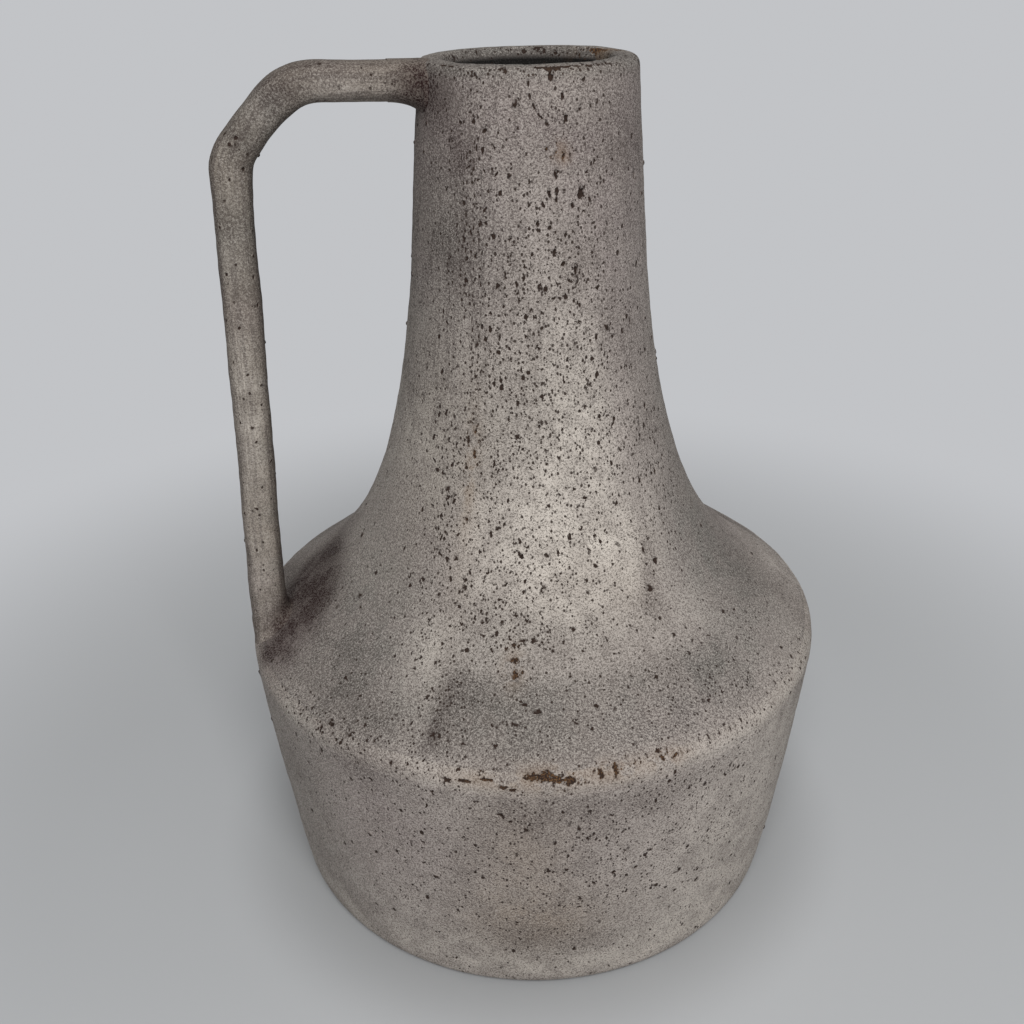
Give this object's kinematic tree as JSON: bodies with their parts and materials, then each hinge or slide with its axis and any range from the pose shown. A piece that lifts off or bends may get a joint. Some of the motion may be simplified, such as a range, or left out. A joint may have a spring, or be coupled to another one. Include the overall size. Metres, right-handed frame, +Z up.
{
  "type": "stoneware jug",
  "caption": "Wheel-thrown stoneware jug with a wide flat-bottomed body, a sharp shoulder edge, a tall flaring neck with a round lip, and an angular loop handle from lip to shoulder.",
  "frame": {"origin": "centre of the foot, on the surface that the jug stands on", "axes": "+Z up along the axis of the throwing wheel, -X from that axis towards the handle, which lies in the XZ plane"},
  "size_m": [0.1776, 0.1776, 0.2513],
  "materials": {
    "body_glaze": "matte",
    "ridge_slip": "matte",
    "handle_glaze": "matte",
    "handle_slip": "matte"
  },
  "bodies": {
    "root": {"lower_body": "body_glaze", "shoulder_neck": "body_glaze", "seam_slip": "ridge_slip", "handle": "handle_glaze", "handle_top_slip": "handle_slip", "handle_foot_slip": "handle_slip"}
  },
  "joints": []
}
